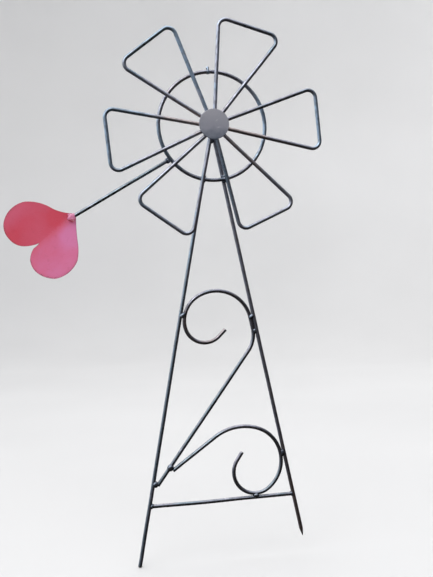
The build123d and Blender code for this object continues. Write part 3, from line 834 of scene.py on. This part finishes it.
# lift of each blade along its wire: how much painted sheen it gets
BLADE_SHEEN = (
    ((0.0, 0.8), (0.36, 0.7), (0.45, 0.25), (0.6, 0.3), (1.0, 0.5)),
    ((0.0, 0.25), (0.36, 0.2), (0.45, 0.95), (0.58, 0.95), (0.66, 0.35), (1.0, 0.55)),
    ((0.0, 0.6), (0.36, 0.6), (0.5, 0.5), (1.0, 0.45)),
    ((0.0, 0.4), (0.36, 0.45), (0.5, 0.55), (1.0, 0.6)),
    ((0.0, 0.45), (0.36, 0.35), (0.45, 0.85), (0.56, 0.85), (0.64, 0.6), (1.0, 0.85)),
    ((0.0, 0.75), (0.3, 0.45), (0.36, 0.3), (0.5, 0.25), (0.6, 0.5), (0.68, 1.0), (1.0, 1.0)),
)
for number, (row, tone, lift) in enumerate(zip(BLADES, BLADE_TONES, BLADE_SHEEN), 1):
    wire = bent(blade_corners(*row), WIRE_BEND)
    rod(f"blade_{number}", wire, 10 + number, tone, lift, BLADE_Y, heat_at=WHEEL_HEAT, body="wheel")


# --- weld beads
RIPPLE_PITCH = 1.55


def bead(centre, way, out, radius, stretch, flat, seed, ripple):
    """One rippled bead: points, faces and how much each point is on a crown.

    way and out are unit vectors, along the bead and up out of it.
    """
    way, out = Vector(way), Vector(out)
    across = way.cross(out)
    rows, columns = 30, 26
    verts, crown = [], []
    for i in range(rows + 1):
        u = pi * i / rows
        along = radius * stretch * cos(u)
        girth = sin(u) ** 0.85 if 0 < i < rows else 0.0
        for j in range(columns):
            v = 2 * pi * j / columns
            phase = along + 0.9 * cos(v) ** 2 + 1.3 * wobble(seed, along + 2 * cos(v), 3.4)
            crest = cos(2 * pi * phase / RIPPLE_PITCH)
            lump = 1 + 0.1 * wobble3((cos(v) * radius, sin(v) * radius, along), 2.6, seed * 0.77)
            r = radius * girth * lump + ripple * crest * girth
            run = along * (1 + 0.05 * girth * wobble(seed + 3, v, 1.3))
            place = way * run + out * (r * cos(v) * flat) + across * (r * sin(v))
            verts.append(tuple(Vector(centre) + place))
            crown.append(max(0.0, 0.42 + 0.5 * crest) * girth)
    return verts, grid_faces(rows + 1, columns), crown


def beads(name, rows, body, nodes, painted_bright=()):
    """Many beads in one piece. Those numbered as bright are smooth wire ends, painted all over in the
    crowns' light-blue highlight colour.
    """
    verts, faces, crowns = [], [], []
    for seed, row in enumerate(rows, 1):
        more_verts, more_faces, crown = bead(*row, seed, 0.02 if seed in painted_bright else 0.09)
        faces += [tuple(k + len(verts) for k in face) for face in more_faces]
        verts += more_verts
        crowns += [1.0] * len(crown) if seed in painted_bright else crown
    return make(name, verts, faces, WELD, body, nodes, {"crown": crowns})


def upright(way):
    """A direction of the front view as a vector in space."""
    return (way[0], 0, way[1])


def frame_welds():
    """Rows for bead(), from the middle of each bead to how flat it is."""
    rows = []
    for x, z, way, size, off, stretch in SIDE_BEADS:
        for face in (-1, 1):
            rows.append(((x, face * off, z), upright(way), (0, face, 0), size, stretch, 0.85))
    for side in (-1, 1):
        bar_end = (leg_x(BAR_Z, side) - side * 3.4, 0, BAR_Z + (1 + side) / 2 * BAR_RISE)
        rows.append((bar_end, upright(LEG_UP[side]), (-side, 0, 0), 4.3, 1.05, 0.75))
        for rise in (-RING_BEAD_SPREAD, RING_BEAD_SPREAD):
            spot = (leg_x(RING_LOW_Z + rise, side), RING_Y + 2.2, RING_LOW_Z + rise)
            rows.append((spot, (1, 0, 0), (0, 0, 1), 2.8, 1.35, 0.85))
        rows.append(((0, side * 3.0, LEG_APEX_Z - APEX_BEAD_DROP), (0, 0, 1), (0, side, 0), 3.3, 1.5, 0.8))
    rows.append(((SEAM[0], RING_Y, SEAM[1]), OUT_OF_RING, FRONT, 4.0, 1.0, 1.0))
    return rows


def ring_nub():
    """Rows for the bit of weld wire that stands on the ring's closing weld, and its stem over the ring."""
    nub = polar((0, HUB_Z), RING_R + NUB_OUT, SEAM_ANGLE)
    stem = polar((0, HUB_Z), RING_R + 0.8, SEAM_ANGLE)
    return [
        ((nub[0], RING_Y, nub[1]), OUT_OF_RING, FRONT, 2.75, 1.1, 1.0),
        ((stem[0], RING_Y - 2.5, stem[1]), OUT_OF_RING, FRONT, 1.5, 3.6, 1.0),
    ]


def hub_welds():
    """Rows for the beads on the disc's back, at each wire's root and round the bolt's head."""
    rows = []
    roots = [(atan2(z - HUB_Z, x), 19.1, 1.3, 3.0, 1.25) for x, z in WHEEL_HEAT]
    head = [(2 * pi * k / 14 + 0.1, 7.6, 0.3, 1.7, 1.35) for k in range(14)]
    for around, reach, behind, size, stretch in roots + head:
        spot = (reach * cos(around), DISC_BACK_Y + behind, HUB_Z + reach * sin(around))
        rows.append((spot, (-sin(around), 0, cos(around)), (0, 1, 0), size, stretch, 0.9))
    return rows


OUT_OF_RING = upright((cos(radians(SEAM_ANGLE)), sin(radians(SEAM_ANGLE))))
TAIL_WAY = upright((cos(radians(TAIL_ANGLE)), sin(radians(TAIL_ANGLE))))
tail_at = (TAIL_START - 3.2, RING_Y, tail_z(TAIL_START - 3.2))
frame_rows = frame_welds()
nub_number = len(frame_rows) + 1
frame_rows += [*ring_nub(), (tail_at, (-TAIL_WAY[2], 0, TAIL_WAY[0]), FRONT, 4.2, 1.15, 1.0)]
# the ring's nub and its stem are painted all over in the crowns' highlight colour
beads("frame_weld_beads", frame_rows, "frame", ["frame_welds"], painted_bright=(nub_number, nub_number + 1))
beads("hub_weld_beads", hub_welds(), "wheel", ["hub_welds"])


# --- turned and hexagonal pieces on the wheel's axis
BEHIND_DISC = 0.02  # the bolt's head starts this far behind the disc
SHANK_R = 3.97
THREAD_START = 11.0
THREAD_PITCH = 1.25
THREAD_DEEP = 0.62
# radius and how far behind its front face, from the bore round to the front chamfer
NUT_SECTION = (
    (AXLE_R, 0.4), (AXLE_R, 7.4), (4.9, 7.5), (5.0, 7.95), (5.25, 8.0), (5.6, 7.8), (5.85, 7.3), (5.9, 6.6),
    (6.1, 6.2), (6.9, 5.85), (7.6, 5.4), (7.6, 3.2), (7.6, 0.75), (6.9, 0.25), (6.3, 0.0), (4.4, 0.0),
)
# radius and how far behind the disc, over the bolt's head
HEAD_SECTION = (
    (0.0, BEHIND_DISC), (5.9, BEHIND_DISC), (6.6, 0.3), (7.6, 0.9), (7.6, HEAD_HIGH - 0.25),
    (7.3, HEAD_HIGH), (4.3, HEAD_HIGH), (3.98, HEAD_HIGH + 0.4),
)


def hexagonal(r, y, t):
    """The radius cut back to a hexagon's flats in direction t."""
    return min(r, HEX_HALF / cos(t % (pi / 3) - pi / 6))


def bolt_shape(r, y, t):
    """The radius cut back to the flats of the bolt's head, or to the flanks of its thread."""
    if y < HEAD_BACK:
        return hexagonal(r, y, t)
    if r == SHANK_R and y >= THREAD_START:
        flank = 1 - abs(2 * ((y / THREAD_PITCH - t / (2 * pi)) % 1.0) - 1)
        return r - THREAD_DEEP * min(1.0, (y - THREAD_START) / 1.2) * flank**1.2
    return r


def turned(name, profile, material, body, nodes, columns=64, shape=None, relief=0.02):
    """Turn a section of (radius, y) about the wheel's axis, closed unless it starts on the axis.

    shape gives the radius again for a radius, y and direction.
    """
    verts = []
    for r, y in profile:
        for j in range(columns):
            t = 2 * pi * j / columns
            reach = shape(r, y, t) if shape else r
            reach += relief * noise.noise(Vector((cos(t) * 2 + len(name), sin(t) * 2, y / 2.5)))
            verts.append((reach * cos(t), y, HUB_Z + reach * sin(t)))
    faces = grid_faces(len(profile), columns, wrap_rows=profile[0][0] > 0)
    return make(name, verts, faces, material, body, nodes)


def ring_profile(inner, outer, start, end, edge, parts):
    """Section of a washer-like ring with rounded outer edges and its outside divided in parts."""
    angles = [pi / 2 * k / 3 for k in range(4)]
    rows = [(inner, start + 0.1), (inner, end - 0.1), (inner + 0.1, end)]
    rows += [(outer - edge + edge * sin(a), end - edge + edge * cos(a)) for a in angles]
    rows += [(outer, end - edge + (start - end + 2 * edge) * k / parts) for k in range(1, parts)]
    rows += [(outer - edge + edge * cos(a), start + edge - edge * sin(a)) for a in angles]
    return rows + [(inner + 0.1, start)]


def bolt_rows():
    """Hexagon-head bolt from its head on the disc to the end of its thread."""
    rows = [(r, DISC_BACK_Y + behind) for r, behind in HEAD_SECTION]
    y = HEAD_BACK + 1.0
    while y < THREAD_START:
        rows.append((SHANK_R, y))
        y += 1.5
    y = THREAD_START
    while y < BOLT_END - 0.9:
        rows.append((SHANK_R, y))
        y += 0.16
    return rows + [(3.35, BOLT_END - 0.35), (3.1, BOLT_END - 0.05), (1.6, BOLT_END), (0.0, BOLT_END)]


sleeve = ring_profile(BORE_R, BEARING_R, -BEARING_HALF, BEARING_HALF, MOUTH_BREAK, 12)
turned("bearing_sleeve", sleeve, IRON, "frame", ["bearing_tube"])
# piece, CAD node, bore and outer radius, where along the axis, edge radius and parts of the outside
for name, node, *section in (
    ("spacer_collar", "front_collar", AXLE_R, COLLAR_R, HEAD_BACK, -NUT_FACE, 0.4, 3),
    ("washer_front", "front_washer", WASHER_HOLE_R, WASHER_R, -NUT_FACE, -WASHER_FACE, 0.35, 2),
    ("washer_rear", "rear_washer", WASHER_HOLE_R, WASHER_R, WASHER_FACE, NUT_FACE, 0.35, 2),
):
    turned(name, ring_profile(*section), ZINC, "wheel", [node])
nut = [(r, NUT_FACE + behind) for r, behind in NUT_SECTION]
turned("lock_nut_hex", nut, ZINC, "wheel", ["lock_nut"], columns=72, shape=hexagonal, relief=0.015)
insert = ring_profile(AXLE_R, 4.85, NUT_FACE + 5.6, NUT_FACE + 7.35, 0.3, 2)
turned("nut_insert", insert, NYLON, "wheel", [], columns=48)
turned("hex_bolt", bolt_rows(), ZINC, "wheel", ["axle_bolt"], columns=48, shape=bolt_shape, relief=0.0)


# --- hub disc
def disc_rows():
    """Radius and y of the disc's section, from its face round to its back; y is None on the face."""
    front_y, back_y = DISC_BACK_Y - DISC_THICK, DISC_BACK_Y
    rows = [(r, None) for r in np.linspace(0.0, DISC_R - 1.2, 30)]
    for k in range(1, 6):
        a = pi / 2 * k / 5
        rows.append((DISC_R - 1.0 + sin(a), front_y + 0.8 * (1 - cos(a)) + 0.05))
    rows += [(DISC_R, (front_y + back_y) / 2 + 0.2), (DISC_R, back_y - 0.45)]
    rows += [(DISC_R - 0.15, back_y - 0.12), (DISC_R - 0.5, back_y)]
    return rows + [(r, back_y) for r in (20.0, 14.0, 8.0, 3.0, 0.0)]


# where each nick in the disc's face is, its slope, length and width
DISC_NICKS = (
    ((4.4, HUB_Z + 5.6), radians(35), 2.6, 0.9),
    ((7.0, HUB_Z - 5.6), radians(8), 3.0, 1.0),
)


def nick_mark(x, z):
    """How deep a point of the disc's face lies in a nick, from 0 to 1."""
    mark = 0.0
    for (at_x, at_z), slope, length, width in DISC_NICKS:
        dx, dz = x - at_x, z - at_z
        a = (dx * cos(slope) + dz * sin(slope)) / length
        b = (-dx * sin(slope) + dz * cos(slope)) / width
        mark = max(mark, exp(-(a * a + b * b) * 1.6))
    return mark


def hub_disc():
    """Stamped disc: softly crowned edge, a burr behind, faint dimples and two small nicks on its face."""
    columns = 120
    rows = disc_rows()
    verts, heat, bare = [], [], []
    for r, row_y in rows:
        for j in range(columns):
            t = 2 * pi * j / columns
            x, z = r * cos(t), HUB_Z + r * sin(t)
            y, mark = row_y, 0.0
            if row_y is None:
                dimples = 0.045 * wobble3((x, 0, z), 9.0, 2.0) + 0.02 * wobble3((x, 0, z), 3.0, 5.0)
                mark = nick_mark(x, z)
                y = DISC_BACK_Y - DISC_THICK + 0.05 + dimples - 0.05 * mark
            out_of_round = 0.0012 * noise.noise(Vector((cos(t) * 1.5, sin(t) * 1.5, 4))) * (r > 20)
            reach = r * (1 + out_of_round)
            near = min(hypot(x - root_x, z - root_z) for root_x, root_z in WHEEL_HEAT)
            verts.append((reach * cos(t), y, HUB_Z + reach * sin(t)))
            heat.append(exp(-((near / 5.0) ** 2)))
            bare.append(mark)
    faces = grid_faces(len(rows), columns)
    layers = {"heat": heat, "bare": bare}
    return make("disc_plate", verts, faces, DISC, "wheel", ["hub_disc"], layers)


hub_disc()

# --- heart
FOLD_SOFT = 4.0  # the crease is rounded over about this distance to each side
HEART_ALONG = Vector((cos(HEART_TURN), 0, sin(HEART_TURN)))
HEART_OUT = Vector((-sin(HEART_TURN), 0, cos(HEART_TURN)))
# How much painted sheen each lobe's paint gets, the lower lobe lighter and more lilac as a painted
# reflection, and patches of more or less painted sheen on it: middle along and across the fold line, reach
# along and across, and how much.
LOBE_SHEEN = {1: 0.18, -1: 0.62}
SHEEN_PATCHES = {
    1: ((42, 14, 16, 14, -0.35), (-38, 30, 18, 16, -0.28), (-12, 62, 30, 14, 0.22)),
    -1: ((40, -24, 26, 17, 0.55),),
}


def arc_through(a, b, c, count=40):
    """Points of the arc from a through b to c."""
    a, b, c = complex(*a), complex(*b), complex(*c)
    w = (c - a) / (b - a)
    middle = a + (b - a) * (w - abs(w) ** 2) / (2j * w.imag)
    turn = phase((c - middle) / (a - middle)) % (2 * pi)
    if w.imag < 0:
        turn -= 2 * pi
    points = [middle + (a - middle) * rect(1, turn * k / count) for k in range(count + 1)]
    return [(point.real, point.imag) for point in points]


def lobe_outline(side, count):
    """Outline of one lobe from the notch round to the tip, in the heart's own plane, evenly spaced."""
    corners = UPPER_LOBE if side > 0 else LOWER_LOBE
    arcs = [arc_through(*run) for run in zip(corners[0::2], corners[1::2], corners[2::2])]
    points = np.array(joined(*arcs))
    run = np.concatenate([[0], np.cumsum(np.linalg.norm(np.diff(points, axis=0), axis=1))])
    at = np.linspace(0, run[-1], count)
    return np.stack([np.interp(at, run, points[:, 0]), np.interp(at, run, points[:, 1])], 1)


def lobe_grid(side, count, across):
    """Grid of points from the fold line out to the lobe's outline, and the outline's outward directions."""
    fold_line = np.stack([np.linspace(NOTCH[0], TIP[0], count), np.zeros(count)], 1)
    rim = lobe_outline(side, count)
    grid = np.stack([fold_line + (rim - fold_line) * k / across for k in range(across + 1)], 1)
    for _ in range(160):
        grid[1:-1, 1:-1] = (grid[:-2, 1:-1] + grid[2:, 1:-1] + grid[1:-1, :-2] + grid[1:-1, 2:]) / 4
    tangent = np.gradient(rim, axis=0)
    normal = np.stack([tangent[:, 1], -tangent[:, 0]], 1)
    normal /= np.linalg.norm(normal, axis=1)[:, None] + 1e-9
    if np.mean(np.sum(normal * (rim - fold_line), 1)) < 0:
        normal = -normal
    return grid, normal


def heart_point(p, q, lift):
    """A point of the folded sheet: p along the fold line, q across it, lift off the sheet's middle."""
    rounded = sqrt(q * q + FOLD_SOFT**2)
    rise = tan(HEART_FOLD) * (rounded - FOLD_SOFT)
    dish = -0.5 * sin(min(1.0, abs(q) / 58.0) * pi)
    ripple = 0.35 * wobble3((p, q, 0), 34.0, 3.0) + 0.12 * wobble3((p, q, 0), 13.0, 8.0)
    slant = tan(HEART_FOLD) * q / rounded
    in_plane = HEART_ALONG * p + HEART_OUT * (q * cos(HEART_FOLD) - lift * slant)
    return Vector(HEART_AT) + in_plane + Vector(FRONT) * (rise + dish + ripple + lift)


def heart_sheen(side, p, q):
    """How much painted sheen the paint gets, lighter and more lilac, evened out over the fold."""
    fade = LOBE_SHEEN[side]
    for at_p, at_q, reach_p, reach_q, amount in SHEEN_PATCHES[side]:
        fade += amount * exp(-(((p - at_p) / reach_p) ** 2 + ((q - at_q) / reach_q) ** 2))
    # the lower lobe's painted sheen grows away from the fold
    if side < 0:
        fade += 0.16 * max(0.0, min(1.0, -q / 50))
    blend = exp(-((q / 7.0) ** 2)) * 0.5
    return fade * (1 - blend) + 0.4 * blend


def heart():
    """Cut sheet with a soft crease from notch to tip, slightly dished lobes and rounded edges."""
    count, across = 150, 26
    half = HEART_THICK / 2
    # front face from the crease out, round the edge, and back along the rear face
    columns = [(k, 0.0, half) for k in range(across)]
    columns += [(across, -half + half * sin(a), half * cos(a)) for a in np.linspace(0, pi, 9)]
    columns += [(k, 0.0, -half) for k in range(across - 1, -1, -1)]
    verts, faces, rim, fade = [], [], [], []
    for side in (1, -1):
        grid, normal = lobe_grid(side, count, across)
        faces += grid_faces(count, len(columns), wrap_columns=False, base=len(verts))
        for i in range(count):
            for k, shift, lift in columns:
                p, q = grid[i, k] + normal[i] * shift
                verts.append(tuple(heart_point(p, q, lift)))
                rim.append(max(0.0, 1 - (across - k) / 2.0))
                fade.append(heart_sheen(side, p, q))
    layers = {"rim": rim, "fade": fade}
    make("heart_sheet", verts, faces, HEART, "frame", ["heart"], layers, 0.00001, True)


def painted_lump():
    """The blob of weld that holds the tail rod on the heart's tip, under a thick coat of the same paint,
    painted dark red towards its underside as shadow and lighter on its ripple crests as highlight.
    """
    low = tail_z(TAIL_END)
    # x, y and z from the tail rod's end, direction, radius and length factor
    lumps = (
        ((4.2, 0.2, 3.3), TAIL_WAY, 5.1, 1.15),
        ((0.6, -0.6, 0.4), (0.5, 0, 0.86), 3.9, 1.15),
        ((4.6, 1.0, -2.0), (0.9, 0, 0.3), 3.6, 1.15),
        ((7.4, 0.7, 5.4), (0.5, 0, -0.8), 3.3, 1.1),
        ((0.4, 1.4, 5.6), (0.8, 0, -0.5), 3.0, 1.1),
        ((2.6, -0.4, 1.8), (0.3, 0, 0.95), 4.3, 1.1),
    )
    verts, faces, fade = [], [], []
    for seed, (place, way, radius, stretch) in enumerate(lumps, 60):
        centre = (TAIL_END + place[0], RING_Y + place[1], low + place[2])
        way = Vector(way).normalized()
        more_verts, more_faces, crest = bead(centre, way, FRONT, radius, stretch, 0.9, seed, 0.03)
        faces += [tuple(k + len(verts) for k in face) for face in more_faces]
        verts += more_verts
        for point, crown in zip(more_verts, crest):
            # painted shadow and highlight: darker red below the rod's end, lighter on the ripple crests
            fade.append(max(0.0, min(0.66, 0.6 + (point[2] - low) / 5)) + 0.2 * crown)
    layers = {"fade": fade, "rim": [0.0] * len(verts)}
    return make("painted_lump", verts, faces, LUMP, "frame", ["heart_weld"], layers)


heart()
painted_lump()


# --- studio
FLOOR_GAP = 0.0002
FLOOR_R, WALL_CURVE_R, WALL_TOP = 3.0, 1.8, 2.8


def floor_material():
    """Pale paint, a little lighter up the wall."""
    s = Shader("pale_floor")
    at = s.object_space()
    soft = s.noise(at, 1.3, 2, 0.5)
    ground = s.ramp(soft, (0.3, (0.66, 0.654, 0.642)), (0.7, (0.69, 0.684, 0.671)))
    wall = s.ramp(soft, (0.3, (0.85, 0.842, 0.826)), (0.7, (0.88, 0.872, 0.856)))
    colour = s.mix(s.span(s.height(at), 0.0, 1.6, smooth=True), ground, wall)
    return s.set(Base_Color=colour, Roughness=0.9, Specular_IOR_Level=0.1)


def studio_floor():
    """Pale floor that turns up into a wall all the way round."""
    ground = cad_low.z - FLOOR_GAP
    profile = [(r, ground) for r in (0.0, 0.8, 1.8, FLOOR_R)]
    for k in range(1, 15):
        a = pi / 2 * k / 14
        profile.append((FLOOR_R + WALL_CURVE_R * sin(a), ground + WALL_CURVE_R * (1 - cos(a))))
    profile += [(FLOOR_R + WALL_CURVE_R, 2.2), (FLOOR_R + WALL_CURVE_R, WALL_TOP)]
    columns = 96
    round_angles = [2 * pi * j / columns for j in range(columns)]
    verts = [(r * cos(a), r * sin(a), z) for r, z in profile for a in round_angles]
    mesh = bpy.data.meshes.new("floor")
    mesh.from_pydata(verts, [], grid_faces(len(profile), columns))
    mesh.shade_smooth()
    mesh.materials.append(floor_material())
    floor = placed("floor", mesh)
    floor.visible_glossy = False


def softbox():
    """One soft light over the left shoulder of whoever looks at the front."""
    lamp = bpy.data.lights.new("key", "AREA")
    lamp.shape = "RECTANGLE"
    lamp.size, lamp.size_y = 1.2, 0.9
    lamp.energy = 9
    lamp.color = (0.97, 0.98, 1.0)
    box = placed("key", lamp)
    box.location = (-1.1, -1.5, 2.2)
    box.rotation_mode = "QUATERNION"
    box.rotation_quaternion = (Vector((-0.05, 0, 0.4)) - box.location).to_track_quat("-Z", "Y")
    box.visible_camera = False


SKY_STRENGTH = 1.85
SKY_UP = (-0.38, 0.2, 0.9)  # the brightest part of the sky is overhead, a little to the left and behind
SKY_STOPS = (
    (0.0, (0.01, 0.0085, 0.0075)),
    (0.28, (0.021, 0.0175, 0.0155)),
    (0.4, (0.048, 0.046, 0.049)),
    (0.56, (0.082, 0.088, 0.102)),
    (0.67, (0.21, 0.225, 0.255)),
    (0.76, (0.56, 0.58, 0.63)),
    (0.87, (0.96, 0.97, 1.0)),
    (1.0, (1.06, 1.06, 1.07)),
)


def soft_sky():
    """Sky, brightest overhead and dark below the horizon, where only reflections see it past the floor."""
    s = Shader("soft_sky", "worlds", "Background")
    way = s.node("TexCoord", "Generated", {})
    upwards = s.node("VectorMath", "Value", {0: way, 1: SKY_UP}, operation="DOT_PRODUCT")
    colour = s.ramp(s.span(upwards, -1.0, 1.0), *SKY_STOPS)
    bpy.context.scene.world = s.set(Color=colour, Strength=SKY_STRENGTH)


studio_floor()
softbox()
soft_sky()
bpy.context.scene.view_settings.view_transform = "Standard"

# --- camera, where the photograph was taken from
CAMERA_AT = (-0.2344, -1.2479, 0.3753)
TURNED_RIGHT = radians(10.64)
TILTED_UP = radians(-0.767)
ROLLED = radians(-1.766)


def photo_camera():
    lens = bpy.data.cameras.new("camera")
    lens.sensor_width, lens.lens = 36.0, 47.48
    lens.clip_start, lens.clip_end = 0.05, 30
    camera = placed("camera", lens)
    aim = Matrix.Rotation(-TURNED_RIGHT, 4, "Z") @ Matrix.Rotation(pi / 2 + TILTED_UP, 4, "X")
    camera.matrix_world = Matrix.Translation(CAMERA_AT) @ aim @ Matrix.Rotation(ROLLED, 4, "Z")
    bpy.context.scene.camera = camera


photo_camera()
